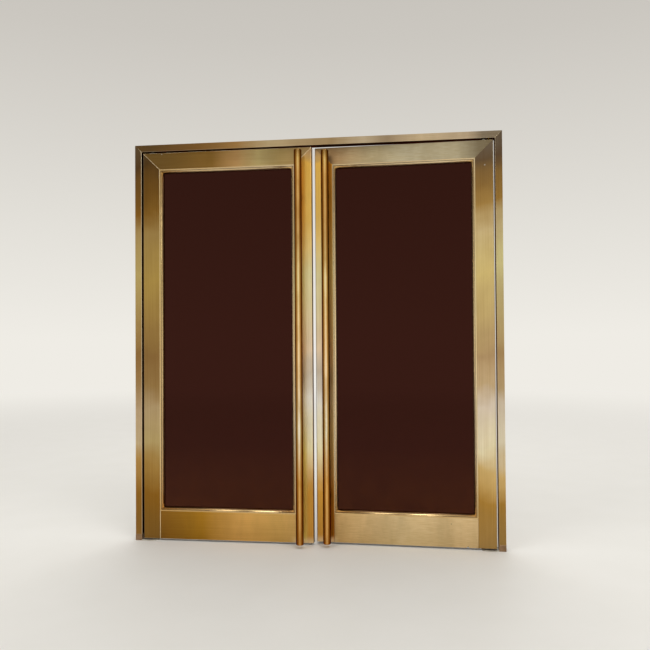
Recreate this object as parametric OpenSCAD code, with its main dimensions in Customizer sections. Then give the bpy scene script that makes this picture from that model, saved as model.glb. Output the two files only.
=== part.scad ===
// Pair of glazed double-acting entrance doors in a plain metal frame.
// Millimetres, Z up. The outside looks along -Y, so -Y is the street side.
// The origin is on the left jamb's wall face, at floor level, in the middle of the doors' thickness.

/* [Leaves] */

// Height of each leaf
leaf_h = 2600; // [1900:10:2900]

// Width of each leaf
leaf_w = 1156; // [800:1:1300]

// Thickness of each leaf
leaf_t = 50; // [44:1:60]

// Face width of the upright stiles
stile_w = 115; // [90:1:160]

// Face height of the top rail
top_rail_h = 112; // [90:1:200]

// Face height of the bottom rail
bottom_rail_h = 186; // [120:1:320]

// How far the right leaf stands open inward at rest, in degrees
right_ajar = 2.1; // [0:0.1:3]

/* [Gaps] */

// Gap between the two meeting stiles
meeting_gap = 17; // [14:1:30]

// Gap between a leaf and its jamb
side_gap = 9; // [9:1:16]

// Gap between the leaves and the head
top_gap = 10; // [6:1:12]

// Height of the leaves above the floor
floor_gap = 13; // [13:1:20]

/* [Frame] */

// Face width of the jambs and the head
frame_face = 45; // [36:1:80]

// Depth of the jambs and the head through the wall
frame_depth = 66; // [62:1:120]

// Height of the plain block under each jamb
foot_h = 40; // [20:1:80]

/* [Glazing] */

// Thickness of the glass
glass_t = 8; // [6:1:12]

// Width of the stepped bead round the glass
bead_w = 25; // [20:1:32]

/* [Pull bars] */

// Diameter of the pull bars
bar_d = 50; // [36:1:60]

// Finger space between a pull bar and its leaf
bar_gap = 55; // [40:1:80]

// Distance of a pull bar's axis from the leaf's free edge
bar_in = 79; // [60:1:90]

// Length left free above a pull bar
bar_top_space = 35; // [20:1:200]

// Length left free below a pull bar
bar_bottom_space = 12; // [10:1:200]

/* [Pivots] */

// Distance of a pivot from the leaf's hinge edge
pivot_in = 60; // [55:1:65]

// Diameter of the pivot pins
pin_d = 16; // [12:1:20]

/* [Hidden] */

$fn = 48;

frame_w = 2 * (frame_face + side_gap + leaf_w) + meeting_gap;
head_under_z = floor_gap + leaf_h + top_gap;
frame_h = head_under_z + frame_face;
wall_to_leaf = frame_face + side_gap;
wall_to_pivot = wall_to_leaf + pivot_in;
frame_arris_r = 3;
foot_proud = 2;
foot_chamfer = 3;

leaf_arris_r = 5;
pane_open_w = leaf_w - 2 * stile_w;
pane_open_h = leaf_h - top_rail_h - bottom_rail_h;
glass_play = 6;

// The bead has a fillet a little proud of the leaf, a narrow groove and a quarter-round down to the glass
bead_proud = 1;
bead_h = (leaf_t - glass_t) / 2 + bead_proud;
fillet_w = 0.35 * bead_w;
fillet_r = 2;
groove_w = 2.5;
groove_depth = 6;
ovolo_drop = 2.5;
ovolo_r = bead_w - fillet_w - groove_w;
mitre_slit = 0.15;

bar_r = bar_d / 2;
bar_end_r = 5;
bar_len = leaf_h - bar_top_space - bar_bottom_space;
bar_y = leaf_t / 2 + bar_gap + bar_r;
post_r = 10;
post_seat = 4;
post_end_space = 280;
fit_play = 0.05;

pin_r = pin_d / 2;
pin_grip = 25;
pin_end_play = 6;
collar_r = 14;
collar_play = 0.5;
arm_t = 7;
arm_r = 40;

// A wrench notch shows at the foot of the right leaf's bottom rail
notch_in = 182;
notch_r = 8;
notch_depth = 12;

brass = [0.66, 0.53, 0.29];
bright_brass = [0.85, 0.66, 0.35];
dark_glass = [0.20, 0.07, 0.06];
steel = [0.52, 0.52, 0.50];

// Frame

// Section of the frame: X from the wall to the doorway, Y through the wall
module frame_section() {
    translate([0, -frame_depth / 2])
        square([frame_face - frame_arris_r, frame_depth]);
    translate([0, -frame_depth / 2 + frame_arris_r])
        square([frame_face, frame_depth - 2 * frame_arris_r]);
    for (side = [-1, 1])
        translate([frame_face - frame_arris_r, side * (frame_depth / 2 - frame_arris_r)])
            circle(frame_arris_r);
}

// A plate standing in the XZ plane, used to cut mitres
module upright_plate(outline, depth) {
    rotate([90, 0, 0])
        linear_extrude(depth, center = true)
            polygon(outline);
}

module jamb() {
    color(brass)
    intersection() {
        linear_extrude(frame_h)
            frame_section();
        upright_plate([
            [0, foot_h],
            [frame_face, foot_h],
            [frame_face, head_under_z],
            [0, frame_h]
        ], 2 * frame_depth);
    }
}

module head() {
    color(brass)
    difference() {
        intersection() {
            translate([0, 0, frame_h])
                rotate([0, 90, 0])
                    linear_extrude(frame_w)
                        frame_section();
            upright_plate([
                [0, frame_h],
                [frame_face, head_under_z],
                [frame_w - frame_face, head_under_z],
                [frame_w, frame_h]
            ], 2 * frame_depth);
        }
        for (x = [wall_to_pivot, frame_w - wall_to_pivot])
            translate([x, 0, head_under_z - 1])
                cylinder(r = pin_r + fit_play, h = pin_grip + 1);
    }
}

module jamb_foot() {
    half = frame_depth / 2 + foot_proud;
    color(steel)
    rotate([90, 0, 90])
        linear_extrude(frame_face)
            polygon([
                [-half, 0],
                [half, 0],
                [half, foot_h - foot_chamfer],
                [half - foot_chamfer, foot_h],
                [-half + foot_chamfer, foot_h],
                [-half, foot_h - foot_chamfer]
            ]);
}

// Pivots

// An arm on the floor reaches from the jamb's foot under the leaf and carries the lower pin
module floor_pivot() {
    color(steel) {
        linear_extrude(arm_t) {
            translate([frame_face, -arm_r])
                square([side_gap + pivot_in, 2 * arm_r]);
            translate([wall_to_pivot, 0])
                circle(arm_r);
        }
        translate([wall_to_pivot, 0, 0]) {
            cylinder(r = collar_r, h = floor_gap - collar_play);
            cylinder(r = pin_r, h = floor_gap + pin_grip);
        }
    }
}

module top_pivot() {
    color(steel)
    translate([wall_to_pivot, 0, head_under_z - top_gap]) {
        translate([0, 0, collar_play])
            cylinder(r = collar_r, h = top_gap - collar_play);
        translate([0, 0, -pin_grip])
            cylinder(r = pin_r, h = 2 * pin_grip + top_gap);
    }
}

// Leaf, drawn with its hinge edge at X 0, its foot at Z 0 and its middle at Y 0

module leaf_plan() {
    translate([leaf_arris_r, -leaf_t / 2])
        square([leaf_w - 2 * leaf_arris_r, leaf_t]);
    translate([0, -leaf_t / 2 + leaf_arris_r])
        square([leaf_w, leaf_t - 2 * leaf_arris_r]);
    for (x = [leaf_arris_r, leaf_w - leaf_arris_r])
        for (side = [-1, 1])
            translate([x, side * (leaf_t / 2 - leaf_arris_r)])
                circle(leaf_arris_r);
}

module leaf_part(outline) {
    intersection() {
        linear_extrude(leaf_h)
            leaf_plan();
        upright_plate(outline, 2 * leaf_t);
    }
}

module pin_bore(z) {
    translate([pivot_in, 0, z])
        cylinder(r = pin_r + fit_play, h = pin_grip + pin_end_play + 1);
}

module hinge_stile() {
    color(brass)
    difference() {
        leaf_part([
            [0, 0],
            [stile_w, 0],
            [stile_w, leaf_h - top_rail_h],
            [0, leaf_h]
        ]);
        pin_bore(-1);
        pin_bore(leaf_h - pin_grip - pin_end_play);
    }
}

module meeting_stile() {
    color(brass)
    leaf_part([
        [leaf_w - stile_w, 0],
        [leaf_w, 0],
        [leaf_w, leaf_h],
        [leaf_w - stile_w, leaf_h - top_rail_h]
    ]);
}

module top_rail() {
    color(brass)
    difference() {
        leaf_part([
            [0, leaf_h],
            [stile_w, leaf_h - top_rail_h],
            [leaf_w - stile_w, leaf_h - top_rail_h],
            [leaf_w, leaf_h]
        ]);
        pin_bore(leaf_h - pin_grip - pin_end_play);
    }
}

module bottom_rail() {
    color(brass)
    translate([stile_w, -leaf_t / 2, 0])
        cube([pane_open_w, leaf_t, bottom_rail_h]);
}

module notched_bottom_rail() {
    color(brass)
    difference() {
        bottom_rail();
        translate([notch_in, -leaf_t / 2 + notch_depth, 0])
            rotate([90, 0, 0])
                cylinder(r = notch_r, h = notch_depth + 1);
    }
}

module glass() {
    color(dark_glass)
    translate([stile_w + glass_play, -glass_t / 2, bottom_rail_h + glass_play])
        cube([pane_open_w - 2 * glass_play, glass_t, pane_open_h - 2 * glass_play]);
}

// Section of the bead: X from the leaf's frame to the pane, Y out from the glass
module bead_section() {
    ovolo_x = fillet_w + groove_w;
    ovolo_y = bead_h - ovolo_drop - ovolo_r;
    square([fillet_w, bead_h - fillet_r]);
    square([fillet_w - fillet_r, bead_h]);
    translate([fillet_w - fillet_r, bead_h - fillet_r])
        circle(fillet_r);
    square([ovolo_x, bead_h - groove_depth]);
    square([bead_w, ovolo_y]);
    intersection() {
        translate([ovolo_x, ovolo_y])
            circle(ovolo_r);
        translate([ovolo_x, ovolo_y - 1])
            square(ovolo_r + 1);
    }
}

// A bead along X with both ends mitred, its section rising from Z 0 and facing -Y
module bead_length(length) {
    intersection() {
        translate([0, -glass_t / 2, 0])
            rotate([180, -90, 0])
                linear_extrude(length)
                    bead_section();
        upright_plate([
            [mitre_slit, 0],
            [length - mitre_slit, 0],
            [length - bead_w - mitre_slit, bead_w],
            [bead_w + mitre_slit, bead_w]
        ], 2 * leaf_t);
    }
}

module upright_bead() {
    mirror([1, 0, -1])
        bead_length(pane_open_h);
}

module beads() {
    color(brass)
    translate([stile_w, 0, bottom_rail_h]) {
        bead_length(pane_open_w);
        translate([0, 0, pane_open_h])
            mirror([0, 0, 1])
                bead_length(pane_open_w);
        upright_bead();
        translate([pane_open_w, 0, 0])
            mirror([1, 0, 0])
                upright_bead();
    }
}

// Heights of a bar's three posts above the leaf's foot
post_heights = [
    bar_bottom_space + post_end_space,
    bar_bottom_space + bar_len / 2,
    bar_bottom_space + bar_len - post_end_space
];

module bar_section() {
    square([bar_r - bar_end_r, bar_len]);
    translate([0, bar_end_r])
        square([bar_r, bar_len - 2 * bar_end_r]);
    for (y = [bar_end_r, bar_len - bar_end_r])
        translate([bar_r - bar_end_r, y])
            intersection() {
                circle(bar_end_r);
                translate([-1, -bar_end_r])
                    square([bar_end_r + 1, 2 * bar_end_r]);
            }
}

// Posts run out from the leaf's face along -Y
module post_row(radius) {
    for (z = post_heights)
        translate([leaf_w - bar_in, -leaf_t / 2, z])
            rotate([90, 0, 0])
                cylinder(r = radius, h = bar_gap + post_seat);
}

module pull_bar() {
    color(bright_brass)
    difference() {
        translate([leaf_w - bar_in, -bar_y, bar_bottom_space])
            rotate_extrude()
                bar_section();
        post_row(post_r + fit_play);
    }
}

module pull_bar_posts() {
    color(bright_brass)
    post_row(post_r);
}

// Places

module inner_side() {
    mirror([0, 1, 0])
        children();
}

module right_of_frame() {
    translate([frame_w, 0, 0])
        mirror([1, 0, 0])
            children();
}

module left_leaf() {
    translate([wall_to_leaf, 0, floor_gap])
        children();
}

// The right leaf is the left one's mirror image, turned about its own pivot
module right_leaf() {
    translate([frame_w - wall_to_pivot, 0, floor_gap])
        rotate([0, 0, -right_ajar])
            translate([pivot_in, 0, 0])
                mirror([1, 0, 0])
                    children();
}

jamb();  // left_jamb
right_of_frame() jamb();  // right_jamb
head();
jamb_foot();  // left_jamb_foot
right_of_frame() jamb_foot();  // right_jamb_foot
floor_pivot();  // left_floor_pivot
right_of_frame() floor_pivot();  // right_floor_pivot
top_pivot();  // left_top_pivot
right_of_frame() top_pivot();  // right_top_pivot

left_leaf() hinge_stile();  // left_hinge_stile
left_leaf() meeting_stile();  // left_meeting_stile
left_leaf() top_rail();  // left_top_rail
left_leaf() bottom_rail();  // left_bottom_rail
left_leaf() glass();  // left_glass
left_leaf() beads();  // left_outer_beads
left_leaf() inner_side() beads();  // left_inner_beads
left_leaf() pull_bar();  // left_outer_bar
left_leaf() pull_bar_posts();  // left_outer_bar_posts
left_leaf() inner_side() pull_bar();  // left_inner_bar
left_leaf() inner_side() pull_bar_posts();  // left_inner_bar_posts

right_leaf() hinge_stile();  // right_hinge_stile
right_leaf() meeting_stile();  // right_meeting_stile
right_leaf() top_rail();  // right_top_rail
right_leaf() notched_bottom_rail();  // right_bottom_rail
right_leaf() glass();  // right_glass
right_leaf() beads();  // right_outer_beads
right_leaf() inner_side() beads();  // right_inner_beads
right_leaf() pull_bar();  // right_outer_bar
right_leaf() pull_bar_posts();  // right_outer_bar_posts
right_leaf() inner_side() pull_bar();  // right_inner_bar
right_leaf() inner_side() pull_bar_posts();  // right_inner_bar_posts
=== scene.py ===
# Looks for a pair of brass-framed glass entrance doors with full-height pull bars.
# Metres, Z up. The street side faces -Y, so the camera stands at -Y.

import math

import bmesh
import bpy
from mathutils import Matrix, Vector


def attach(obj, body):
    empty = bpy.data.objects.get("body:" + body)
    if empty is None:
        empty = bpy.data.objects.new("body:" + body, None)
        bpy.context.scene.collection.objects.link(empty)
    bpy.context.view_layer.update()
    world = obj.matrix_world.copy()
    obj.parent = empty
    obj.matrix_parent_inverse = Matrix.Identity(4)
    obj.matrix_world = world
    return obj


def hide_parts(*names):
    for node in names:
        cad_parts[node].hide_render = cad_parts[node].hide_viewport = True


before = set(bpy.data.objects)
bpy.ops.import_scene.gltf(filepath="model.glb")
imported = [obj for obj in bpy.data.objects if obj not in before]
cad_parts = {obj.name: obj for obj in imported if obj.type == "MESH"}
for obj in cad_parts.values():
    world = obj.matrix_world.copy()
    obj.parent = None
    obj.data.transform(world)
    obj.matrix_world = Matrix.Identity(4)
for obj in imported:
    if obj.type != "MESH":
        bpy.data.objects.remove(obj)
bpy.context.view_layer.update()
scene = bpy.context.scene
mm = 0.001
hair = 0.01 * mm          # points closer than this count as one
print("packed doors loaded,", len(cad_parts), "nodes")


# Sizes that several pieces share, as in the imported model

doorSizes = {
    "leafHeight": 2600 * mm,
    "leafWidth": 1156 * mm,
    "leafThickness": 50 * mm,
    "stileWidth": 115 * mm,
    "topRailHeight": 112 * mm,
    "bottomRailHeight": 186 * mm,
    "glassThickness": 8 * mm,
    "meetingGap": 17 * mm,
    "sideGap": 9 * mm,
    "topGap": 10 * mm,
    "floorGap": 13 * mm,
    "frameFace": 45 * mm,
    "frameDepth": 66 * mm,
    "footHeight": 40 * mm,
    "pivotIn": 60 * mm,
    "rightAjar": math.radians(2.1),
}

leafHeight = doorSizes["leafHeight"]
leafWidth = doorSizes["leafWidth"]
leafThickness = doorSizes["leafThickness"]
stileWidth = doorSizes["stileWidth"]
topRailHeight = doorSizes["topRailHeight"]
bottomRailHeight = doorSizes["bottomRailHeight"]
frameFace = doorSizes["frameFace"]
frameDepth = doorSizes["frameDepth"]
hingeEdge = frameFace + doorSizes["sideGap"]                  # from the wall to a leaf's hinge edge
frameWidth = 2 * (hingeEdge + leafWidth) + doorSizes["meetingGap"]
headUnder = doorSizes["floorGap"] + leafHeight + doorSizes["topGap"]
frameHeight = headUnder + frameFace
paneWidth = leafWidth - 2 * stileWidth
paneHeight = leafHeight - topRailHeight - bottomRailHeight

# A leaf is modelled with its hinge edge at X 0, its foot at Z 0 and its middle at Y 0
flipX = Matrix.Scale(-1, 4, (1, 0, 0))
flipY = Matrix.Scale(-1, 4, (0, 1, 0))
pivotIn = doorSizes["pivotIn"]
leafPlace = {
    "left": Matrix.Translation((hingeEdge, 0, doorSizes["floorGap"])),
    "right": (
        Matrix.Translation((frameWidth - hingeEdge - pivotIn, 0, doorSizes["floorGap"]))
        @ Matrix.Rotation(-doorSizes["rightAjar"], 4, "Z")
        @ Matrix.Translation((pivotIn, 0, 0))
        @ flipX
    ),
}
framePlace = {
    "left": Matrix.Identity(4),
    "right": Matrix.Translation((frameWidth, 0, 0)) @ flipX,
}
facePlace = {"outer": Matrix.Identity(4), "inner": flipY}


# Materials

def linearColour(hexText):          # sRGB hex to linear light
    values = [int(hexText[i:i + 2], 16) / 255 for i in (1, 3, 5)]
    return tuple(v / 12.92 if v <= 0.04045 else ((v + 0.055) / 1.055) ** 2.4 for v in values) + (1.0,)


def addNode(tree, kind, settings=None, links=None):
    node = tree.nodes.new(kind)
    for name, value in (settings or {}).items():
        if name == "stops":          # a ramp's positions and colours
            while len(node.color_ramp.elements) < len(value):
                node.color_ramp.elements.new(1.0)
            for element, (position, colour) in zip(node.color_ramp.elements, value):
                element.position = position
                element.color = linearColour(colour)
        elif isinstance(name, str) and hasattr(node, name):
            setattr(node, name, value)
        else:
            node.inputs[name].default_value = value
    for name, source in (links or {}).items():
        tree.links.new(source, node.inputs[name])
    return node


def newMaterial(name):
    material = bpy.data.materials.new(name)
    material.use_nodes = True
    material.node_tree.nodes.clear()
    return material, material.node_tree


noiseSpan = {"From Min": 0.3, "From Max": 0.7}          # most of a noise lies between these


# Brass of the frame and the leaves: rolled sheet brass, satin polished by hand along its length and
# left to age. It mirrors softly and goes olive and brown in places. Its colours by height and across
# the width also hold painted reflections and painted light, pale in a band about hand height.
satinBrass = {
    "middleReflectionTones": [       # share of the full height, colour beside the pull bars: age tone with painted reflections
        (0.00, "#d89e48"), (0.13, "#e6aa4a"), (0.25, "#fff4c8"), (0.36, "#fbf8f2"),
        (0.42, "#dccfbe"), (0.48, "#fce4c6"), (0.64, "#fff6c0"), (0.80, "#fcd070"),
        (0.945, "#ffce66"), (0.962, "#c5a278"), (1.00, "#80604a"),
    ],
    "wallReflectionTones": [        # the same along the hinge edges and the jambs
        (0.00, "#b7945a"), (0.12, "#c19446"), (0.19, "#e6c584"), (0.24, "#fff4d0"),
        (0.34, "#f6e8d8"), (0.39, "#d8bd94"), (0.47, "#c5a67c"), (0.66, "#eed892"),
        (0.77, "#e0ca98"), (0.82, "#b79354"), (0.87, "#9d7b46"), (0.93, "#715c44"),
        (1.00, "#7a6f62"),
    ],
    "wallReach": (0.30, 0.80),          # metres from the middle where one turns into the other
    "paintedLightAcross": [              # share of the full width, painted light and reflection laid over that colour
        (0.00, "#c8ba9a"),
        (0.10, "#c8ba9a"),
        (0.45, "#ffffff"),
        (0.536, "#ffffff"),
        (0.542, "#ffdca4"),      # painted shade of the right bar, between it and its pane
        (0.552, "#ffdca4"),
        (0.560, "#ffffff"),
    ],
    "barSideLiftStrip": [         # share of the full width, white where painted light lifts the left stile beside its bar
        (0.463, "#000000"),
        (0.469, "#ffffff"),
        (0.474, "#ffffff"),
        (0.482, "#000000"),
    ],
    "barSideLiftTone": "#fff08c",
    "barSideLiftShare": 0.8,
    "barSideLiftTop": (0.30, 0.22),          # share of the full height over which that begins
    "shoeRub": "#f6dcae",
    "shoeShare": 0.8,
    "shoeReach": (0.17, 0.11),          # metres from the middle over which that begins
    "shoeHeight": (0.065, 0.015),
    "tarnish": "#6f5526",
    "tarnishShare": 0.25,
    "tarnishSpan": {"From Min": 0.42, "From Max": 0.72},
    "tarnishDulls": 0.16,
    "cloudSize": 380 * mm,
    "cloudDrift": 0.03,          # share of the full height by which clouds shift the colours
    "cloudStretch": 1.0,
    # colour of the painted highlight along the arrises
    "arrisHighlight": "#fff0cc",
    # dark colour of the painted shade and grime in gaps, grooves and hollows
    "grime": "#3a2409",
    "grainTone": "#ece5d8",
    "grainWidth": 2.2 * mm,      # real grain is 0.3 mm, drawn coarser so that it shows
    "grainLength": 420 * mm,
    "grainDulls": 0.07,
    "grainDepth": 0.03 * mm,
    "roughness": 0.27,
    "waveSize": 110 * mm,
    "waveHeight": 0.35 * mm,
    "spot": "#4a3414",
    "spotSize": 9 * mm,
    "spotShare": 0.20,           # share of the cells that have a spot
    "spotReach": 0.09,           # share of a cell
    "spotFade": 0.04,
    "spotDepth": 0.6,
    "glancing": "#8c6a40",       # colour kept in a glancing mirror
}

# The jambs carry their pale painted reflection over a longer stretch than the hinge stiles, and painted
# light leaves the left one the browner
jambBrass = {
    **satinBrass,
    "wallReflectionTones": [(0.00, "#b7945a"), (0.12, "#c19446"), (0.19, "#ecca8a"), (0.24, "#fff6e1"),
                     (0.34, "#f6e8d8"), (0.39, "#d8bd94"), (0.47, "#c5a476"), (0.68, "#f4ebb0"),
                     (0.77, "#e0ce9f"), (0.82, "#b18946"), (0.87, "#9d7b46"), (0.93, "#6e5844"),
                     (1.00, "#7a6f62")],
    "paintedLightAcross": [(0.00, "#d5c6ad"), (1.00, "#efeee9")],
}

# The rails lie at the ends of the leaves only, so their colours are set for foot and head
topRailBrass = {
    **satinBrass,
    "middleReflectionTones": [(0.94, "#ded2b2"), (0.98, "#b6ad93")],
    "wallReflectionTones": [(0.94, "#d0c6a8"), (0.98, "#c6bc9f")],
    # painted light and reflection across the width
    "paintedLightAcross": [(0.07, "#917850"), (0.22, "#b08e57"), (0.29, "#eac59b"), (0.35, "#fff3ca"),
               (0.41, "#dcc99e"), (0.55, "#dabba0"), (0.66, "#ede7db"), (0.75, "#ffffff"),
               (0.88, "#ffffff"), (0.94, "#b4aea8")],
    "cloudStretch": 0.3,
}
# the bottom rails' colour by height, with painted reflection
railReflectionByHeight = [(0.00, "#e5cc9a"), (0.075, "#fbe0ae")]
bottomRailBrass = {
    **topRailBrass,
    "middleReflectionTones": railReflectionByHeight,
    "wallReflectionTones": railReflectionByHeight,
    # painted light and reflection across the width
    "paintedLightAcross": [(0.06, "#957642"), (0.19, "#be9d47"), (0.29, "#f2d49e"), (0.40, "#ecd6a4"),
               (0.56, "#ecdcc4"), (0.72, "#ffffff"), (1.00, "#f8f2ee")],
}

# The right leaf's bottom rail is spotted by floor washing
stainedBrass = {**bottomRailBrass, "spotSize": 12 * mm, "spotShare": 0.5, "spot": "#55431f"}

# The head is browner, with painted light and reflection laid across its width
headByHeight = [(0.00, "#e0cba8"), (1.00, "#e0cba8")]
headBrass = {
    **topRailBrass,
    "middleReflectionTones": headByHeight,
    "wallReflectionTones": headByHeight,
    "paintedLightAcross": [(0.05, "#74644f"), (0.18, "#987c57"), (0.29, "#c5aa82"), (0.38, "#e7e5db"),
               (0.55, "#d0c5b4"), (0.64, "#f3f5fa"), (0.70, "#c9c4c5"), (0.79, "#ffffff"),
               (0.91, "#ecebf2"), (0.95, "#a8aab2")],
}

# The beads are drawn sections, finer polished than the sheet brass beside them. Their colours by height
# and across hold painted reflections, and their arrises a painted highlight
beadReflectionByHeight = [(0.00, "#e0b878"), (0.10, "#e8c890"), (0.25, "#fdecc8"), (0.48, "#ecd4a4"),
                (0.66, "#f6e6b0"), (0.85, "#e4cc9c"), (1.00, "#e4d4b4")]
beadBrass = {
    **satinBrass,
    "middleReflectionTones": beadReflectionByHeight,
    "wallReflectionTones": beadReflectionByHeight,
    "paintedLightAcross": [(0.00, "#e2d2b0"), (0.45, "#ffffff"), (1.00, "#ffffff")],
    "arrisHighlight": "#ffe4b8",
    "tarnishShare": 0.15,
    "roughness": 0.20,
    "grainTone": "#f6f1e8",
    "waveHeight": 0.05 * mm,
}


def makeSatinBrass(name, look, grainAlong):
    material, tree = newMaterial(name)
    where = addNode(tree, "ShaderNodeTexCoord").outputs["Object"]
    axes = addNode(tree, "ShaderNodeSeparateXYZ", links={"Vector": where})

    # Colour by height, from the middle to the walls and from side to side: age tone with painted
    # reflections and painted light
    cloud = addNode(tree, "ShaderNodeTexNoise", {
        "Scale": 1 / look["cloudSize"], "Detail": 3.0, "Roughness": 0.55}, {"Vector": where})
    drift = addNode(tree, "ShaderNodeMapRange", {
        **noiseSpan, "To Min": -look["cloudDrift"], "To Max": look["cloudDrift"]},
        {"Value": cloud.outputs[0]})
    share = addNode(tree, "ShaderNodeMapRange", {"From Max": frameHeight},
                    {"Value": axes.outputs["Z"]})
    level = addNode(tree, "ShaderNodeMath", {"operation": "ADD"},
                    {0: share.outputs[0], 1: drift.outputs[0]})
    offMiddle = addNode(tree, "ShaderNodeMath", {"operation": "SUBTRACT", 1: frameWidth / 2},
                        {0: axes.outputs["X"]})
    fromMiddle = addNode(tree, "ShaderNodeMath", {"operation": "ABSOLUTE"}, {0: offMiddle.outputs[0]})
    nearEnd, farEnd = look["wallReach"]
    outward = addNode(tree, "ShaderNodeMapRange", {"From Min": nearEnd, "From Max": farEnd},
                      {"Value": fromMiddle.outputs[0]})
    middleTone = addNode(tree, "ShaderNodeValToRGB", {"stops": look["middleReflectionTones"]},
                         {"Fac": level.outputs[0]})
    wallTone = addNode(tree, "ShaderNodeValToRGB", {"stops": look["wallReflectionTones"]},
                       {"Fac": level.outputs[0]})
    reflectionByHeight = addNode(tree, "ShaderNodeMix", {"data_type": "RGBA"},
                       {0: outward.outputs[0], 6: middleTone.outputs[0], 7: wallTone.outputs[0]})
    acrossShare = addNode(tree, "ShaderNodeMapRange", {"From Max": frameWidth},
                          {"Value": axes.outputs["X"]})
    paintedLightAcross = addNode(tree, "ShaderNodeValToRGB", {"stops": look["paintedLightAcross"]},
                     {"Fac": acrossShare.outputs[0]})
    sided = addNode(tree, "ShaderNodeMix", {"data_type": "RGBA", "blend_type": "MULTIPLY", 0: 1.0},
                    {6: reflectionByHeight.outputs[2], 7: paintedLightAcross.outputs[0]})

    # Painted light lifts a strip of the left bar's stile against the bar's shade, more so low down
    strip = addNode(tree, "ShaderNodeValToRGB", {"stops": look["barSideLiftStrip"]},
                    {"Fac": acrossShare.outputs[0]})
    stripTop, stripFull = look["barSideLiftTop"]
    lowStrip = addNode(tree, "ShaderNodeMapRange", {
        "From Min": stripTop, "From Max": stripFull, "To Max": look["barSideLiftShare"]},
        {"Value": share.outputs[0]})
    barSideLifted = addNode(tree, "ShaderNodeMath", {"operation": "MULTIPLY"},
                       {0: strip.outputs[0], 1: lowStrip.outputs[0]})
    base = addNode(tree, "ShaderNodeMix", {"data_type": "RGBA", 7: linearColour(look["barSideLiftTone"])},
                   {0: barSideLifted.outputs[0], 6: sided.outputs[2]})

    # Tarnish lies in broad clouds
    patch = addNode(tree, "ShaderNodeTexNoise", {
        "Scale": 0.6 / look["cloudSize"], "Detail": 4.0, "Roughness": 0.6, "Distortion": 0.4},
        {"Vector": addNode(tree, "ShaderNodeMapping", {
            "Location": (3.1, 0.7, 1.9), "Scale": (1 / look["cloudStretch"], 1, 1)},
            {"Vector": where}).outputs[0]})
    tarnish = addNode(tree, "ShaderNodeMapRange", {
        **look["tarnishSpan"], "To Max": look["tarnishShare"]}, {"Value": patch.outputs[0]})
    aged = addNode(tree, "ShaderNodeMix", {"data_type": "RGBA", 7: linearColour(look["tarnish"])},
                   {0: tarnish.outputs[0], 6: base.outputs[2]})

    # Shoes rub the foot of the meeting stiles pale
    footHigh, footFull = look["shoeHeight"]
    reach, reachFull = look["shoeReach"]
    beside = addNode(tree, "ShaderNodeMapRange", {
        "interpolation_type": "SMOOTHSTEP", "From Min": reach, "From Max": reachFull,
        "To Max": look["shoeShare"]}, {"Value": fromMiddle.outputs[0]})
    low = addNode(tree, "ShaderNodeMapRange", {
        "interpolation_type": "SMOOTHSTEP", "From Min": footHigh, "From Max": footFull},
        {"Value": axes.outputs["Z"]})
    kicked = addNode(tree, "ShaderNodeMath", {"operation": "MULTIPLY"},
                     {0: beside.outputs[0], 1: low.outputs[0]})
    rubbed = addNode(tree, "ShaderNodeMix", {"data_type": "RGBA", 7: linearColour(look["shoeRub"])},
                     {0: kicked.outputs[0], 6: aged.outputs[2]})

    # Long fine scratches of the polishing pad
    across, along = 1 / look["grainWidth"], 1 / look["grainLength"]
    grainScale = (along, across, across) if grainAlong == "X" else (across, across, along)
    grain = addNode(tree, "ShaderNodeTexNoise", {"Scale": 1.0, "Detail": 2.0},
                    {"Vector": addNode(tree, "ShaderNodeMapping", {"Scale": grainScale},
                                       {"Vector": where}).outputs[0]})
    grainTone = addNode(tree, "ShaderNodeValToRGB", {
        "stops": [(noiseSpan["From Min"], look["grainTone"]), (noiseSpan["From Max"], "#ffffff")]},
        {"Fac": grain.outputs[0]})
    grained = addNode(tree, "ShaderNodeMix", {"data_type": "RGBA", "blend_type": "MULTIPLY", 0: 1.0},
                      {6: rubbed.outputs[2], 7: grainTone.outputs[0]})

    # Small brown spots where drops have dried: cells five spots wide, and a spot in only some of them
    cell = addNode(tree, "ShaderNodeTexVoronoi", {"Scale": 0.2 / look["spotSize"]}, {"Vector": where})
    rare = addNode(tree, "ShaderNodeSeparateColor", links={"Color": cell.outputs["Color"]})
    size = addNode(tree, "ShaderNodeMapRange", {
        "From Min": 1 - look["spotShare"], "To Max": look["spotReach"]}, {"Value": rare.outputs[0]})
    near = addNode(tree, "ShaderNodeMath", {"operation": "SUBTRACT"},
                   {0: size.outputs[0], 1: cell.outputs["Distance"]})
    spot = addNode(tree, "ShaderNodeMapRange", {
        "From Max": look["spotFade"], "To Max": look["spotDepth"]}, {"Value": near.outputs[0]})
    spotted = addNode(tree, "ShaderNodeMix", {"data_type": "RGBA", 7: linearColour(look["spot"])},
                      {0: spot.outputs[0], 6: grained.outputs[2]})

    # Painted shade and grime darken gaps, grooves and hollows, and the arrises carry a painted highlight
    grime = addNode(tree, "ShaderNodeAttribute", {"attribute_name": "grime"})
    shadedAndGrimy = addNode(tree, "ShaderNodeMix", {"data_type": "RGBA", 7: linearColour(look["grime"])},
                    {0: grime.outputs["Fac"], 6: spotted.outputs[2]})
    arris = addNode(tree, "ShaderNodeAttribute", {"attribute_name": "arris"})
    colour = addNode(tree, "ShaderNodeMix", {"data_type": "RGBA", 7: linearColour(look["arrisHighlight"])},
                     {0: arris.outputs["Fac"], 6: shadedAndGrimy.outputs[2]})

    dull = addNode(tree, "ShaderNodeMath", {
        "operation": "MULTIPLY_ADD", 1: look["tarnishDulls"], 2: look["roughness"]},
        {0: tarnish.outputs[0]})
    rough = addNode(tree, "ShaderNodeMath", {"operation": "MULTIPLY_ADD", 1: look["grainDulls"]},
                    {0: grain.outputs[0], 2: dull.outputs[0]})

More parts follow.
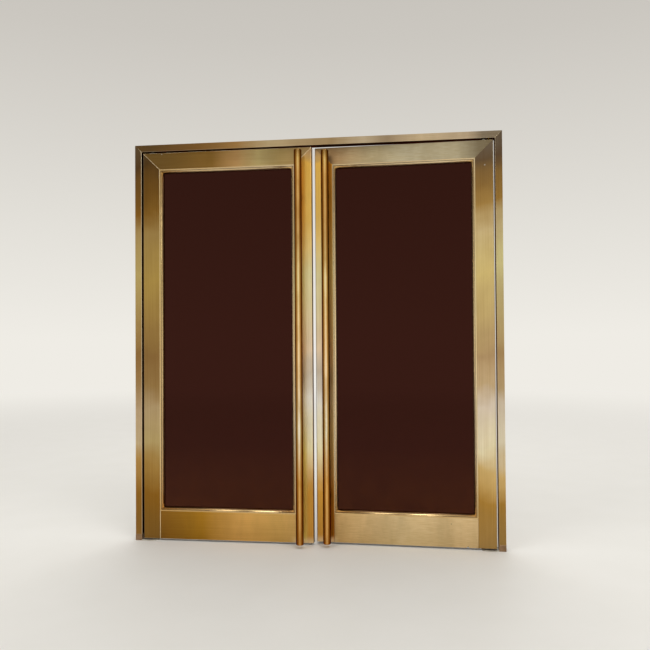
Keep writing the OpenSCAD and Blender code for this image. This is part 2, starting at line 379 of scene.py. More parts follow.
    # Slight waves left by the rolling, and the grain's own relief
    wave = addNode(tree, "ShaderNodeTexNoise", {"Scale": 1 / look["waveSize"], "Detail": 1.0},
                   {"Vector": where})
    dented = addNode(tree, "ShaderNodeBump", {"Strength": 1.0, "Distance": look["waveHeight"]},
                     {"Height": wave.outputs[0]})
    scratched = addNode(tree, "ShaderNodeBump", {"Strength": 0.35, "Distance": look["grainDepth"]},
                        {"Height": grain.outputs[0], "Normal": dented.outputs[0]})

    metal = addNode(tree, "ShaderNodeBsdfPrincipled", {
        "Metallic": 1.0, "Specular Tint": linearColour(look["glancing"])}, {
        "Base Color": colour.outputs[2], "Roughness": rough.outputs[0], "Normal": scratched.outputs[0]})
    addNode(tree, "ShaderNodeOutputMaterial", links={"Surface": metal.outputs[0]})
    return material


# Brass of the pull bars: drawn tube, machine polished, with a painted reflection, bright down its
# front and brown down its flanks.
polishedBrass = {
    "byPaintedReflection": [           # painted reflection, from the dark flanks to the bright front
        (0.00, "#4a2806"), (0.50, "#6c3c0a"), (0.68, "#84581e"), (0.85, "#9b7c46"),
        (0.91, "#b19b69"), (0.97, "#dacbae"), (1.00, "#ffffff"),
    ],
    "reflectionByHeight": [            # share of the full height, painted reflection laid over that colour
        (0.00, "#e8b068"), (0.16, "#f6c070"), (0.28, "#fff6de"), (0.42, "#ffe0b4"),
        (0.55, "#fad8a0"), (0.65, "#ffe6ac"), (0.80, "#e0b06c"), (0.86, "#ecbc74"),
        (0.91, "#ffcd81"), (0.943, "#ffd98c"), (0.965, "#b8945e"),
    ],
    "held": "#fff0c4",       # the side towards the leaf, where fingers close round
    "glancing": "#8a5a24",
    "roughness": 0.14,
    "smear": 60 * mm,
    "smearShift": 0.02,          # how far smears move the edge of the painted bright front
    "smearDulls": 0.10,
    "grainWidth": 1.6 * mm,
    "grainLength": 500 * mm,
    "grainDulls": 0.05,
    "waveSize": 240 * mm,
    "waveHeight": 0.06 * mm,
}


def makePolishedBrass(name, look):
    material, tree = newMaterial(name)
    where = addNode(tree, "ShaderNodeTexCoord").outputs["Object"]
    height = addNode(tree, "ShaderNodeSeparateXYZ", links={"Vector": where}).outputs["Z"]
    smear = addNode(tree, "ShaderNodeTexNoise", {"Scale": 1 / look["smear"], "Detail": 4.0},
                    {"Vector": addNode(tree, "ShaderNodeMapping", {"Scale": (1, 1, 0.35)},
                                       {"Vector": where}).outputs[0]})
    rubbed = addNode(tree, "ShaderNodeAttribute", {"attribute_name": "rubbed"})
    unsteady = addNode(tree, "ShaderNodeMapRange", {
        **noiseSpan, "To Min": -look["smearShift"], "To Max": look["smearShift"]},
        {"Value": smear.outputs[0]})
    front = addNode(tree, "ShaderNodeMath", {"operation": "ADD", "use_clamp": True},
                    {0: rubbed.outputs["Fac"], 1: unsteady.outputs[0]})
    byPaintedReflection = addNode(tree, "ShaderNodeValToRGB", {"stops": look["byPaintedReflection"]},
                        {"Fac": front.outputs[0]})
    share = addNode(tree, "ShaderNodeMapRange", {"From Max": frameHeight}, {"Value": height})
    reflectionByHeight = addNode(tree, "ShaderNodeValToRGB", {"stops": look["reflectionByHeight"]},
                       {"Fac": share.outputs[0]})
    outside = addNode(tree, "ShaderNodeMix", {"data_type": "RGBA", "blend_type": "MULTIPLY", 0: 1.0},
                    {6: byPaintedReflection.outputs[0], 7: reflectionByHeight.outputs[0]})
    held = addNode(tree, "ShaderNodeAttribute", {"attribute_name": "held"})
    base = addNode(tree, "ShaderNodeMix", {"data_type": "RGBA", 7: linearColour(look["held"])},
                   {0: held.outputs["Fac"], 6: outside.outputs[2]})

    across, along = 1 / look["grainWidth"], 1 / look["grainLength"]
    grain = addNode(tree, "ShaderNodeTexNoise", {"Scale": 1.0, "Detail": 2.0},
                    {"Vector": addNode(tree, "ShaderNodeMapping", {"Scale": (across, across, along)},
                                       {"Vector": where}).outputs[0]})
    smeared = addNode(tree, "ShaderNodeMath", {          # half the smears' share off, so the mean stays
        "operation": "MULTIPLY_ADD", 1: look["smearDulls"],
        2: look["roughness"] - look["smearDulls"] / 2}, {0: smear.outputs[0]})
    rough = addNode(tree, "ShaderNodeMath", {"operation": "MULTIPLY_ADD", 1: look["grainDulls"]},
                    {0: grain.outputs[0], 2: smeared.outputs[0]})
    wave = addNode(tree, "ShaderNodeTexNoise", {"Scale": 1 / look["waveSize"], "Detail": 1.0},
                   {"Vector": where})
    dented = addNode(tree, "ShaderNodeBump", {"Strength": 1.0, "Distance": look["waveHeight"]},
                     {"Height": wave.outputs[0]})
    metal = addNode(tree, "ShaderNodeBsdfPrincipled", {
        "Metallic": 1.0, "Specular Tint": linearColour(look["glancing"])}, {
        "Base Color": base.outputs[2], "Roughness": rough.outputs[0], "Normal": dented.outputs[0]})
    addNode(tree, "ShaderNodeOutputMaterial", links={"Surface": metal.outputs[0]})
    return material


# Float glass tinted dark bronze in the melt: almost black-brown seen through, with the plain
# sharp mirror of glass on top and a faint film of dust near the floor, whose brown is also a painted
# reflection of the floor.
bronzeGlass = {
    "tint": "#200a06",
    "mirror": "#e08a78",         # the tint colours what the pane mirrors too
    "ior": 1.5,
    # brown near the foot: dust, and a painted reflection of the floor
    "dustAndFloorReflection": "#6a3c1c",
    "dustTop": 450 * mm,         # above the bottom rail
    "dustRoughness": 0.05,
    "dustShows": 8.0,            # how much of its colour shows for that roughness
    "dustScale": 14.0,           # patches about 70 mm wide
    "waveSize": 700 * mm,
    "waveHeight": 0.02 * mm,
}


def makeBronzeGlass(name, look):
    material, tree = newMaterial(name)
    where = addNode(tree, "ShaderNodeTexCoord").outputs["Object"]
    height = addNode(tree, "ShaderNodeSeparateXYZ", links={"Vector": where}).outputs["Z"]
    low = addNode(tree, "ShaderNodeMapRange", {
        "From Min": look["dustTop"] + bottomRailHeight, "From Max": bottomRailHeight,
        "To Max": look["dustRoughness"]}, {"Value": height})
    film = addNode(tree, "ShaderNodeTexNoise", {"Scale": look["dustScale"], "Detail": 5.0},
                   {"Vector": where})
    rough = addNode(tree, "ShaderNodeMath", {"operation": "MULTIPLY"},
                    {0: low.outputs[0], 1: film.outputs[0]})
    wave = addNode(tree, "ShaderNodeTexNoise", {"Scale": 1 / look["waveSize"], "Detail": 0.0},
                   {"Vector": where})
    drawn = addNode(tree, "ShaderNodeBump", {"Strength": 1.0, "Distance": look["waveHeight"]},
                    {"Height": wave.outputs[0]})
    dustShare = addNode(tree, "ShaderNodeMath", {
        "operation": "MULTIPLY", 1: look["dustShows"]}, {0: rough.outputs[0]})
    dustAndReflectionTone = addNode(tree, "ShaderNodeMix", {
        "data_type": "RGBA", 6: linearColour(look["tint"]), 7: linearColour(look["dustAndFloorReflection"])},
        {0: dustShare.outputs[0]})
    glass = addNode(tree, "ShaderNodeBsdfPrincipled", {
        "Transmission Weight": 1.0, "IOR": look["ior"], "Specular Tint": linearColour(look["mirror"])},
        {"Base Color": dustAndReflectionTone.outputs[2], "Roughness": rough.outputs[0], "Normal": drawn.outputs[0]})
    addNode(tree, "ShaderNodeOutputMaterial", links={"Surface": glass.outputs[0]})
    return material


# Cast bronze of the feet: brownish grey, matt from floor washing, darker in its pores.
castBronze = {
    "toneSpan": [(0.5, "#775d3f"), (0.9, "#a48567")],
    "poreSize": 5 * mm,
    "poreShare": 0.4,
    "poreDepth": 0.1 * mm,
    "washScale": 22.0,
    "washDulls": 0.2,
    "roughness": 0.34,           # where the washing has dulled it least
}

# Turned and milled steel of the pivots: grey, with machining marks and a trace of brown oil.
pivotSteel = {
    **castBronze,
    "toneSpan": [(0.5, "#948c7e"), (0.9, "#d9d6cc")],
    "poreSize": 3 * mm,
    "roughness": 0.26,
}


def makeDullMetal(name, look):
    material, tree = newMaterial(name)
    where = addNode(tree, "ShaderNodeTexCoord").outputs["Object"]
    pores = addNode(tree, "ShaderNodeTexNoise", {"Scale": 1 / look["poreSize"], "Detail": 4.0},
                    {"Vector": where})
    wash = addNode(tree, "ShaderNodeTexNoise", {"Scale": look["washScale"], "Detail": 3.0},
                   {"Vector": where})
    both = addNode(tree, "ShaderNodeMath", {"operation": "MULTIPLY_ADD", 1: look["poreShare"]},
                   {0: pores.outputs[0], 2: wash.outputs[0]})
    colour = addNode(tree, "ShaderNodeValToRGB", {"stops": look["toneSpan"]},
                     {"Fac": both.outputs[0]})
    rough = addNode(tree, "ShaderNodeMath", {
        "operation": "MULTIPLY_ADD", 1: look["washDulls"], 2: look["roughness"]},
        {0: wash.outputs[0]})
    bump = addNode(tree, "ShaderNodeBump", {"Strength": 0.4, "Distance": look["poreDepth"]},
                   {"Height": pores.outputs[0]})
    metal = addNode(tree, "ShaderNodeBsdfPrincipled", {"Metallic": 1.0}, {
        "Base Color": colour.outputs[0], "Roughness": rough.outputs[0], "Normal": bump.outputs[0]})
    addNode(tree, "ShaderNodeOutputMaterial", links={"Surface": metal.outputs[0]})
    return material


stileBrass = makeSatinBrass("satinSheetBrassUpright", satinBrass, "Z")
postBrass = makeSatinBrass("satinSheetBrassJambs", jambBrass, "Z")
upperBrass = makeSatinBrass("satinSheetBrassTopRails", topRailBrass, "X")
lowerBrass = makeSatinBrass("satinSheetBrassBottomRails", bottomRailBrass, "X")
washedBrass = makeSatinBrass("stainedSheetBrass", stainedBrass, "X")
brownBrass = makeSatinBrass("brownSheetBrassWithPaintedLight", headBrass, "X")
drawnBrass = makeSatinBrass("drawnBeadBrass", beadBrass, "Z")
barBrass = makePolishedBrass("polishedBrassTube", polishedBrass)
paneGlass = makeBronzeGlass("bronzeTintedFloatGlass", bronzeGlass)
footMetal = makeDullMetal("castFootBronze", castBronze)
steel = makeDullMetal("milledPivotSteel", pivotSteel)
print("materials made")


# Mesh tools

def softenEdges(bm, edges, width, segments, shine=1.0):          # shine is how strong a painted highlight they carry
    layer = bm.faces.layers.float.get("arris") or bm.faces.layers.float.new("arris")
    made = bmesh.ops.bevel(bm, geom=edges, offset=width, offset_type="OFFSET", segments=segments,
                           profile=0.5, affect="EDGES", material=-1, clamp_overlap=False)
    for face in made["faces"]:
        face.smooth = True
        face[layer] = shine


def markShadeAndGrime(bm, amount, isShadedAndDirty):          # faces in gaps and hollows, darkened with painted shade and grime
    layer = bm.faces.layers.float.get("grime") or bm.faces.layers.float.new("grime")
    for face in bm.faces:
        if isShadedAndDirty(face):
            face[layer] = amount


def sharpEdges(bm, leastAngle=math.radians(40)):
    return [edge for edge in bm.edges if edge.calc_face_angle(0) > leastAngle]


def runAlong(edge, axis):          # how far an edge runs along X, Y or Z, which are 0, 1 and 2
    return abs(edge.verts[0].co[axis] - edge.verts[1].co[axis])


def vertsIn(geometry):
    return [part for part in geometry if isinstance(part, bmesh.types.BMVert)]


def joinInto(whole, part):          # adds one bmesh to another and frees it
    carrier = bpy.data.meshes.new("carrier")
    part.to_mesh(carrier)
    part.free()
    whole.from_mesh(carrier)
    bpy.data.meshes.remove(carrier)


def cutAway(bm, point, normal):          # removes what lies on the normal's side and closes the cut
    cut = bmesh.ops.bisect_plane(bm, geom=bm.verts[:] + bm.edges[:] + bm.faces[:], plane_co=point,
                                 plane_no=Vector(normal).normalized(), clear_outer=True)
    rim = [part for part in cut["geom_cut"] if isinstance(part, bmesh.types.BMEdge)]
    bmesh.ops.edgeloop_fill(bm, edges=rim)


def newBlock(low, high):
    bm = bmesh.new()
    bmesh.ops.create_cube(bm, size=1.0)
    bmesh.ops.scale(bm, vec=Vector(high) - Vector(low), verts=bm.verts)
    bmesh.ops.translate(bm, vec=(Vector(low) + Vector(high)) / 2, verts=bm.verts)
    return bm


def newRod(radius, length, endRound, segments=72):          # upright, its foot at Z 0
    bm = bmesh.new()
    bmesh.ops.create_circle(bm, cap_ends=True, radius=radius, segments=segments)
    raised = bmesh.ops.extrude_face_region(bm, geom=bm.faces[:])
    bmesh.ops.translate(bm, vec=(0, 0, length), verts=vertsIn(raised["geom"]))
    bmesh.ops.recalc_face_normals(bm, faces=bm.faces)
    for face in bm.faces:
        face.smooth = len(face.verts) == 4
    softenEdges(bm, sharpEdges(bm), endRound, 5)
    return bm


def placePiece(name, bm, place, body, material, slotName, *nodes):          # turns a bmesh into a piece
    bmesh.ops.transform(bm, matrix=place, verts=bm.verts)
    bmesh.ops.recalc_face_normals(bm, faces=bm.faces)
    if bm.calc_volume(signed=True) < 0:          # slivers at a mitre's tip can turn a shell inside out
        bmesh.ops.reverse_faces(bm, faces=bm.faces)
    mesh = bpy.data.meshes.new(name)
    bm.to_mesh(mesh)
    bm.free()
    mesh.materials.append(material)
    piece = bpy.data.objects.new(name, mesh)
    scene.collection.objects.link(piece)
    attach(piece, body)
    if nodes:
        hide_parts(*nodes)
    return piece


# Frame: jambs and head of folded sheet brass, mitred at the top corners

frameLook = {
    "frontArris": 3 * mm,
    "arrisShine": {"left": 0.6, "right": 0.15, "head": 0.15},
    "jointArris": 0.7 * mm,
    "gapShadeAndGrime": 0.85,
}


def frameBlank():          # the whole frame as a solid slab, from which each member is cut
    return newBlock((0, -frameDepth / 2, 0), (frameWidth, frameDepth / 2, frameHeight))


def roundInnerArris(bm, member, onArris):
    softenEdges(bm, [edge for edge in sharpEdges(bm) if onArris(edge)], frameLook["frontArris"], 4,
                frameLook["arrisShine"][member])


def jambShape(side):
    bm = frameBlank()
    cutAway(bm, (frameFace, 0, 0), (1, 0, 0))
    cutAway(bm, (0, 0, doorSizes["footHeight"]), (0, 0, -1))
    roundInnerArris(bm, side, lambda edge: runAlong(edge, 2) > mm
                    and all(v.co.x > frameFace - mm for v in edge.verts))
    cutAway(bm, (0, 0, frameHeight), (1, 0, 1))
    softenEdges(bm, sharpEdges(bm), frameLook["jointArris"], 2)
    markShadeAndGrime(bm, frameLook["gapShadeAndGrime"], lambda face: face.normal.x > 0.95)
    return bm


def headShape():
    bm = frameBlank()
    cutAway(bm, (0, 0, headUnder), (0, 0, -1))
    roundInnerArris(bm, "head", lambda edge: runAlong(edge, 0) > mm
                    and all(v.co.z < headUnder + mm for v in edge.verts))
    cutAway(bm, (0, 0, frameHeight), (-1, 0, -1))
    cutAway(bm, (frameWidth, 0, frameHeight), (1, 0, -1))
    softenEdges(bm, sharpEdges(bm), frameLook["jointArris"], 2)
    markShadeAndGrime(bm, frameLook["gapShadeAndGrime"], lambda face: face.normal.z < -0.95)
    return bm


for side in ("left", "right"):
    placePiece(side + "JambShell", jambShape(side), framePlace[side], "frame",
               postBrass, "satin_brass", side + "_jamb")
placePiece("headShell", headShape(), Matrix.Identity(4), "frame", brownBrass, "satin_brass", "head")
print("frame made")


# Feet: a cast block under each jamb, a little proud of it, with a chamfer round its top

footLook = {"proud": 2 * mm, "chamfer": 3 * mm, "edge": 0.8 * mm}


def footShape():
    half = frameDepth / 2 + footLook["proud"]
    top = doorSizes["footHeight"]
    bm = newBlock((0, -half, 0), (frameFace, half, top))
    upper = [edge for edge in bm.edges
             if runAlong(edge, 1) == 0 and all(v.co.z > top - mm for v in edge.verts)]
    bmesh.ops.bevel(bm, geom=upper, offset=footLook["chamfer"], offset_type="OFFSET", segments=1,
                    profile=0.5, affect="EDGES", material=-1)
    softenEdges(bm, sharpEdges(bm, math.radians(30)), footLook["edge"], 2)
    return bm


for side in ("left", "right"):
    placePiece(side + "FootBlock", footShape(), framePlace[side], "frame",
               footMetal, "foot_metal", side + "_jamb_foot")
print("feet made")


# Leaf members, cut from one rounded blank so that every joint closes

leafLook = {
    "edgeRound": 5 * mm,
    "edgeShine": 0.1,
    "mitreArris": 1.0 * mm,
    "buttArris": 1.8 * mm,
    "gapShadeAndGrime": 0.85,
    "seamShine": {"left": 1.0, "right": 0.0},          # the right leaf's seams carry no painted highlight and hardly show
}


def leafBlank():
    bm = newBlock((0, -leafThickness / 2, 0), (leafWidth, leafThickness / 2, leafHeight))
    uprights = [edge for edge in bm.edges if runAlong(edge, 2) > mm]
    softenEdges(bm, uprights, leafLook["edgeRound"], 5, leafLook["edgeShine"])
    return bm


topOfStile = Vector((0, 0, leafHeight))
mitreDown = Vector((topRailHeight, 0, stileWidth))          # across the left mitre, up and inward
leafCuts = {          # planes that bound each member, as points and outward directions
    "hinge_stile": [((stileWidth, 0, 0), (1, 0, 0)), (topOfStile, mitreDown)],
    "meeting_stile": [((leafWidth - stileWidth, 0, 0), (-1, 0, 0)),
                      ((leafWidth, 0, leafHeight), (-topRailHeight, 0, stileWidth))],
    "top_rail": [((0, 0, leafHeight - topRailHeight), (0, 0, -1)), (topOfStile, -mitreDown),
                 ((leafWidth, 0, leafHeight), (topRailHeight, 0, -stileWidth))],
    "bottom_rail": [((0, 0, bottomRailHeight), (0, 0, 1)), ((stileWidth, 0, 0), (-1, 0, 0)),
                    ((leafWidth - stileWidth, 0, 0), (1, 0, 0))],
}


def leafMember(side, kind):
    bm = leafBlank()
    shine = leafLook["seamShine"][side]
    for point, normal in leafCuts[kind]:
        cutAway(bm, point, normal)
    butts = [edge for edge in sharpEdges(bm)
             if runAlong(edge, 0) < hair
             and stileWidth - mm < edge.verts[0].co.x < leafWidth - stileWidth + mm
             and min(v.co.z for v in edge.verts) < mm]
    softenEdges(bm, butts, leafLook["buttArris"], 3, shine)
    softenEdges(bm, sharpEdges(bm), leafLook["mitreArris"], 2, shine)
    markShadeAndGrime(bm, leafLook["gapShadeAndGrime"], lambda face: abs(face.normal.y) < 0.3)
    return bm


# The right leaf's bottom rail has a half-round wrench notch in its foot, on the street side

notchLook = {
    "in": 182 * mm,          # from the hinge edge to its middle
    "radius": 8 * mm,
    "depth": 12 * mm,
    "segments": 12,
    "grime": 1.0,
}


def notchedRail():
    front, back = -leafThickness / 2, leafThickness / 2
    left, right = stileWidth, leafWidth - stileWidth
    centre, radius, depth = notchLook["in"], notchLook["radius"], notchLook["depth"]
    turns = [math.pi * i / notchLook["segments"] for i in range(notchLook["segments"] + 1)]
    arc = [Vector((centre - radius * math.cos(turn), front, radius * math.sin(turn))) for turn in turns]
    outline = arc + [Vector((right, front, 0)), Vector((right, front, bottomRailHeight)),
                     Vector((left, front, bottomRailHeight)), Vector((left, front, 0))]
    bm = bmesh.new()
    face = bm.faces.new([bm.verts.new(point) for point in outline])

    # Back to the notch's depth, where a half disc closes it
    middle = bmesh.ops.extrude_face_region(bm, geom=[face], use_keep_orig=True)["geom"]
    moved = vertsIn(middle)
    bmesh.ops.translate(bm, vec=(0, depth, 0), verts=moved)
    inner = [part for part in middle if isinstance(part, bmesh.types.BMFace)][0]
    arcEdges = [edge for edge in inner.edges
                if all(abs(v.co.x - centre) < radius + hair and v.co.z < radius + mm
                       for v in edge.verts)]
    ends = [v for v in moved if abs(v.co.z) < hair and abs(abs(v.co.x - centre) - radius) < hair]
    closing = bm.edges.new(ends)
    end = bmesh.ops.edgeloop_fill(bm, edges=arcEdges + [closing])["faces"][0]

    # On to the back of the rail, whole
    raised = bmesh.ops.extrude_face_region(bm, geom=[inner, end], use_keep_orig=True)["geom"]
    bmesh.ops.translate(bm, vec=(0, back - front - depth, 0), verts=vertsIn(raised))
    bmesh.ops.delete(bm, geom=[inner], context="FACES_ONLY")
    bmesh.ops.recalc_face_normals(bm, faces=bm.faces)
    butts = [edge for edge in sharpEdges(bm)
             if edge.calc_length() > bottomRailHeight - mm and runAlong(edge, 0) < hair]
    softenEdges(bm, butts, leafLook["buttArris"], 3, leafLook["seamShine"]["right"])
    markShadeAndGrime(bm, leafLook["gapShadeAndGrime"], lambda face: abs(face.normal.y) < 0.3)

    def inNotch(face):
        where = face.calc_center_median()
        return where.z < radius and abs(where.x - centre) < radius

    # the notch's faces carry painted shade
    markShadeAndGrime(bm, notchLook["grime"], inNotch)
    return bm


memberBrass = {"hinge_stile": stileBrass, "meeting_stile": stileBrass,
               "top_rail": upperBrass, "bottom_rail": lowerBrass}
for side in ("left", "right"):
    for kind in leafCuts:
        name = side + kind.title().replace("_", "")
        if name == "rightBottomRail":
            shape, brass = notchedRail(), washedBrass
        else:
            shape, brass = leafMember(side, kind), memberBrass[kind]
        placePiece(name, shape, leafPlace[side], side + "_leaf", brass, "satin_brass", side + "_" + kind)
print("leaf members made")


# Two slotted screw heads show: one in the left leaf's top rail and one in the right leaf's hinge stile

screwLook = {"radius": 4 * mm, "proud": 0.8 * mm, "base": 0.35 * mm, "slot": 1.0 * mm,
             "edge": 0.25 * mm, "turned": math.radians(25)}
screwPlaces = {          # in from the hinge edge, down from the leaf's top
    "leftTopRailScrew": ("left", 131 * mm, 8 * mm),
    "rightHingeStileScrew": ("right", 54 * mm, 160 * mm),
}


def screwHead(inward, down):
    whole = bmesh.new()
    for half in (-1, 0, 1):          # two half discs with the slot between them, on a thin whole disc
        disc = newRod(screwLook["radius"], screwLook["proud"] if half else screwLook["base"],
                      screwLook["edge"] if half else screwLook["edge"] / 2, 48)
        if half:
            cutAway(disc, (half * screwLook["slot"] / 2, 0, 0), (-half, 0, 0))
        joinInto(whole, disc)
    place = (Matrix.Translation((inward, -leafThickness / 2, leafHeight - down))
             @ Matrix.Rotation(math.pi / 2, 4, "X") @ Matrix.Rotation(screwLook["turned"], 4, "Z"))
    bmesh.ops.transform(whole, matrix=place, verts=whole.verts)
    return whole


for name, (side, inward, down) in screwPlaces.items():
    placePiece(name, screwHead(inward, down), leafPlace[side], side + "_leaf", steel, "satin_brass")
print("screws made")


# Glazing beads: fillet, groove and quarter-round down to the glass, mitred at the corners

beadLook = {
    "width": 25 * mm,
    "height": 22 * mm,
    "fillet": 8.75 * mm,
    "filletRound": 2 * mm,
    "groove": 2.5 * mm,
    "grooveDepth": 6 * mm,
    "roundDrop": 2.5 * mm,
    "mitreSlit": 0.15 * mm,
    "filletShine": 0.5,
    "roundShine": 0.25,
    "grooveShadeAndGrime": 0.4,
}
# The bead beside the pull bar carries more painted highlight and less painted shade in its groove than
# the others
moreHighlightBead = {**beadLook, "filletShine": 0.9, "roundShine": 0.8, "grooveShadeAndGrime": 0.2}


def beadShape(look, length, opening):          # one length along X, its foot on the pane opening's edge
    groove = look["fillet"] + look["groove"]
    roundRadius = look["width"] - groove
    roundTop = look["height"] - look["roundDrop"]
    section = [          # across the bead, out from the glass
        (0, 0), (0, look["height"]), (look["fillet"], look["height"]),
        (look["fillet"], look["height"] - look["grooveDepth"]),
        (groove, look["height"] - look["grooveDepth"]),
        (groove, roundTop), (look["width"], roundTop), (look["width"], 0),
    ]
    bm = bmesh.new()
    front = -doorSizes["glassThickness"] / 2
    corners = [bm.verts.new((0, front - out, up)) for up, out in section]
    bm.faces.new(corners)
    raised = bmesh.ops.extrude_face_region(bm, geom=bm.faces[:])
    bmesh.ops.translate(bm, vec=(length, 0, 0), verts=vertsIn(raised["geom"]))
    bmesh.ops.recalc_face_normals(bm, faces=bm.faces)

    def longEdges(up, out):
        return [edge for edge in bm.edges if runAlong(edge, 0) > mm
                and all(abs(v.co.z - up) < hair and abs(v.co.y - front + out) < hair
                        for v in edge.verts)]

    def inGroove(face):
        return (abs(face.normal.x) < 0.5
                and look["fillet"] - hair <= face.calc_center_median().z <= groove + hair)

    softenEdges(bm, longEdges(look["width"], roundTop), roundRadius - 0.05 * mm, 10,
                look["roundShine"])
    softenEdges(bm, longEdges(look["fillet"], look["height"]), look["filletRound"], 4,
                look["filletShine"])
    markShadeAndGrime(bm, look["grooveShadeAndGrime"], inGroove)
    slit = look["mitreSlit"]
    cutAway(bm, (slit, 0, 0), (-1, 0, 1))
    cutAway(bm, (length - slit, 0, 0), (1, 0, 1))
    bmesh.ops.translate(bm, vec=(-length / 2, 0, -opening / 2), verts=bm.verts)
    return bm


def beadFrame():
    whole = bmesh.new()
    centre = Matrix.Translation((leafWidth / 2, 0, bottomRailHeight + paneHeight / 2))
    for quarter in range(4):
        upright = quarter % 2 == 1
        length, opening = (paneHeight, paneWidth) if upright else (paneWidth, paneHeight)
        bead = beadShape(moreHighlightBead if quarter == 3 else beadLook, length, opening)
        bmesh.ops.transform(bead, matrix=centre @ Matrix.Rotation(math.pi / 2 * quarter, 4, "Y"),
                            verts=bead.verts)
        joinInto(whole, bead)
    return whole


for side in ("left", "right"):
    for face in ("outer", "inner"):
        placePiece(side + face.title() + "Beads", beadFrame(), leafPlace[side] @ facePlace[face],
                   side + "_leaf", drawnBrass, "satin_brass", side + "_" + face + "_beads")
print("beads made")


# Pull bars: full-height polished tubes on three turned posts each

barLook = {
    "radius": 25 * mm,
    "gap": 55 * mm,
    "in": 79 * mm,          # from the meeting edge to the tube's middle
    "topSpace": 35 * mm,
    "bottomSpace": 12 * mm,
    "endRound": 5 * mm,
    "postRadius": 10 * mm,
    "postSeat": 4 * mm,
    "postEdge": 0.5 * mm,
    "postEndSpace": 280 * mm,
    "frontTurn": math.radians(9),          # the painted highlight on the front is turned a little to the right
    "freeFlank": 0.84,          # the flank away from the pane carries more painted reflection than the other
    "heldReach": 2.0,           # how fast the held back begins behind the flanks
}
barLength = leafHeight - barLook["topSpace"] - barLook["bottomSpace"]
barX = leafWidth - barLook["in"]
barY = -(leafThickness / 2 + barLook["gap"] + barLook["radius"])


def markSheenAndHeld(bm, turn):          # the painted reflection is 1 at the front, held is 1 at the back on the free side
    rubbed = bm.verts.layers.float.new("rubbed")
    held = bm.verts.layers.float.new("held")
    front = Vector((math.sin(turn), -math.cos(turn)))
    for vert in bm.verts:
        out = Vector((vert.co.x, vert.co.y))
        out = out.normalized() if out.length > 0 else front
        vert[rubbed] = max(0.0, out.dot(front), barLook["freeFlank"] * out.x)
        vert[held] = (min(1.0, max(0.0, barLook["heldReach"] * out.y))
                      * min(1.0, max(0.0, 0.5 + out.x)))


def barShape(turn):
    bm = newRod(barLook["radius"], barLength, barLook["endRound"])
    markSheenAndHeld(bm, turn)
    bmesh.ops.translate(bm, vec=(barX, barY, barLook["bottomSpace"]), verts=bm.verts)
    return bm


def postShapes(turn):
    whole = bmesh.new()
    for height in (barLook["postEndSpace"], barLength / 2, barLength - barLook["postEndSpace"]):
        post = newRod(barLook["postRadius"], barLook["gap"] + barLook["postSeat"],
                      barLook["postEdge"], 40)
        markSheenAndHeld(post, turn)
        place = (Matrix.Translation((barX, -leafThickness / 2, barLook["bottomSpace"] + height))
                 @ Matrix.Rotation(math.pi / 2, 4, "X"))
        bmesh.ops.transform(post, matrix=place, verts=post.verts)
        joinInto(whole, post)
    return whole


for side in ("left", "right"):
    turn = barLook["frontTurn"] if side == "left" else -barLook["frontTurn"]
    for face in ("outer", "inner"):
        place = leafPlace[side] @ facePlace[face]
        stem = side + face.title()
        node = side + "_" + face + "_bar"
        placePiece(stem + "Bar", barShape(turn), place, side + "_leaf", barBrass, "polished_brass", node)
        placePiece(stem + "BarPosts", postShapes(turn), place, side + "_leaf", barBrass,
                   "polished_brass", node + "_posts")
print("pull bars made")


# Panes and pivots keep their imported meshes

for side in ("left", "right"):
    finishes = {side + "_glass": paneGlass, side + "_floor_pivot": steel, side + "_top_pivot": steel}
    for node, material in finishes.items():
        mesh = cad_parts[node].data
        mesh.materials.clear()
        mesh.materials.append(material)
print("panes and pivots finished")


# Camera, at the height and bearing from which the doors were seen

cameraLook = {
    "position": (1.8446, -4.4486, 1.3669),
    "turnedLeft": math.radians(7.106),
    "tiltedUp": math.radians(0.918),
    "leaning": math.radians(-0.373),
    "lens": 37.69,
    "sensor": 36.0,
}

camera = bpy.data.objects.new("camera", bpy.data.cameras.new("camera"))
scene.collection.objects.link(camera)
camera.data.lens = cameraLook["lens"]
camera.data.sensor_width = cameraLook["sensor"]
camera.data.sensor_fit = "HORIZONTAL"
camera.matrix_world = (
    Matrix.Translation(cameraLook["position"])
    @ Matrix.Rotation(cameraLook["turnedLeft"], 4, "Z")
    @ Matrix.Rotation(math.pi / 2 + cameraLook["tiltedUp"], 4, "X")
    @ Matrix.Rotation(cameraLook["leaning"], 4, "Z")
)
scene.camera = camera


# Studio: a pale floor that runs out into a pale backdrop, and soft lamps

studioLook = {
    "backdropByRise": [          # sine of the height above the horizon, colour
        (0.00, "#efece5"),
        (0.15, "#e3e0d9"),
        (0.40, "#cbc7c0"),
        (0.80, "#b0aca5"),
    ],
    "floorPale": "#eae7e0",
    "floorDark": "#e5e2da",
    "floorRoughness": 0.55,
    "fillStrength": 1.00,
    "floorRadius": 60.0,
    "fadeStart": 2.0,
    "fadeEnd": 14.0,
}
lampLook = {          # position, size in metres, power in watts
    "key": ((3.8, -4.0, 7.4), (3.2, 3.2), 120.0),
    "fill": ((-1.8, -4.0, 7.0), (3.0, 3.0), 70.0),
    "back": ((1.2, 5.4, 6.6), (4.5, 3.0), 110.0),
}


def raysThatSeeBackdrop(tree):          # camera, mirror and see-through rays meet the same backdrop
    rays = addNode(tree, "ShaderNodeLightPath")
    first = addNode(tree, "ShaderNodeMath", {"operation": "MAXIMUM"},
                    {0: rays.outputs["Is Camera Ray"], 1: rays.outputs["Is Glossy Ray"]})
    return addNode(tree, "ShaderNodeMath", {"operation": "MAXIMUM"},
                   {0: first.outputs[0], 1: rays.outputs["Is Transmission Ray"]}).outputs[0]


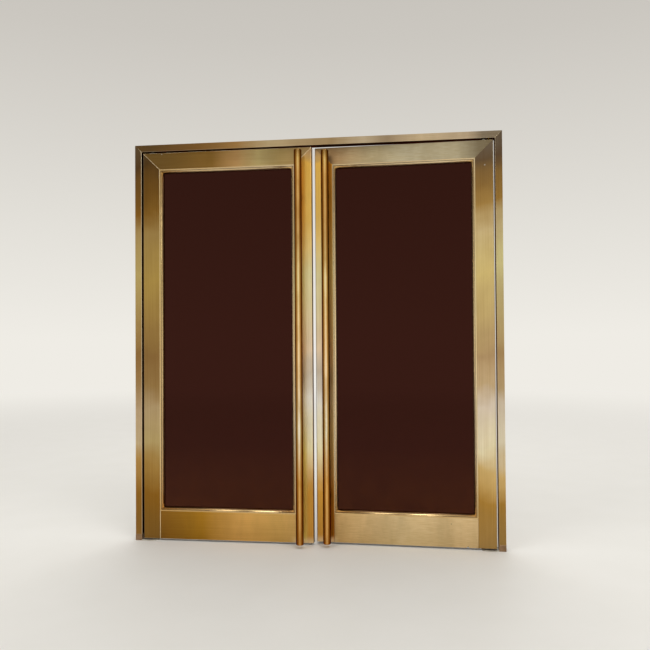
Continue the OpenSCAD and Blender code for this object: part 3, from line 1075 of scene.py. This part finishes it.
world = bpy.data.worlds.new("studioAir")
world.use_nodes = True
worldTree = world.node_tree
worldTree.nodes.clear()
fillAir = addNode(worldTree, "ShaderNodeBackground", {"Strength": studioLook["fillStrength"]})
bearing = addNode(worldTree, "ShaderNodeTexCoord").outputs["Generated"]
rise = addNode(worldTree, "ShaderNodeSeparateXYZ", links={"Vector": bearing}).outputs["Z"]
airColour = addNode(worldTree, "ShaderNodeValToRGB", {"stops": studioLook["backdropByRise"]},
                    {"Fac": rise})
paleAir = addNode(worldTree, "ShaderNodeBackground", {"Strength": 1.0}, {"Color": airColour.outputs[0]})
air = addNode(worldTree, "ShaderNodeMixShader", links={
    0: raysThatSeeBackdrop(worldTree), 1: fillAir.outputs[0], 2: paleAir.outputs[0]})
addNode(worldTree, "ShaderNodeOutputWorld", links={"Surface": air.outputs[0]})
scene.world = world

floorMaterial, floorTree = newMaterial("paleStudioFloor")
floorWhere = addNode(floorTree, "ShaderNodeTexCoord").outputs["Object"]
floorGrain = addNode(floorTree, "ShaderNodeTexNoise", {"Scale": 3.0, "Detail": 4.0},
                     {"Vector": floorWhere})
floorTone = addNode(floorTree, "ShaderNodeMix", {
    "data_type": "RGBA", 6: linearColour(studioLook["floorDark"]),
    7: linearColour(studioLook["floorPale"])}, {0: floorGrain.outputs[0]})
floorMatt = addNode(floorTree, "ShaderNodeBsdfPrincipled", {"Roughness": studioLook["floorRoughness"]},
                    {"Base Color": floorTone.outputs[2]})
farAway = addNode(floorTree, "ShaderNodeVectorMath", {"operation": "LENGTH"}, {0: floorWhere})
fading = addNode(floorTree, "ShaderNodeMapRange", {
    "interpolation_type": "SMOOTHSTEP", "From Min": studioLook["fadeStart"],
    "From Max": studioLook["fadeEnd"]}, {"Value": farAway.outputs["Value"]})
floorAir = addNode(floorTree, "ShaderNodeEmission", {
    "Color": linearColour(studioLook["backdropByRise"][0][1]), "Strength": 1.0})
floorBlend = addNode(floorTree, "ShaderNodeMixShader", links={
    0: fading.outputs[0], 1: floorMatt.outputs[0], 2: floorAir.outputs[0]})
addNode(floorTree, "ShaderNodeOutputMaterial", links={"Surface": floorBlend.outputs[0]})

floorBm = bmesh.new()
bmesh.ops.create_circle(floorBm, cap_ends=True, radius=studioLook["floorRadius"], segments=64)
floorMesh = bpy.data.meshes.new("studioFloor")
floorBm.to_mesh(floorMesh)
floorBm.free()
floorMesh.materials.append(floorMaterial)
studioFloor = bpy.data.objects.new("studioFloor", floorMesh)
scene.collection.objects.link(studioFloor)

middle = Vector((frameWidth / 2, 0, frameHeight / 2))
for name, (position, size, power) in lampLook.items():
    lamp = bpy.data.lights.new(name + "Lamp", "AREA")
    lamp.shape = "RECTANGLE"
    lamp.size, lamp.size_y = size
    lamp.energy = power
    stand = bpy.data.objects.new(name + "Lamp", lamp)
    scene.collection.objects.link(stand)
    stand.location = position
    stand.rotation_euler = (middle - Vector(position)).to_track_quat("-Z", "Y").to_euler()

scene.view_settings.view_transform = "Standard"
print("studio set")
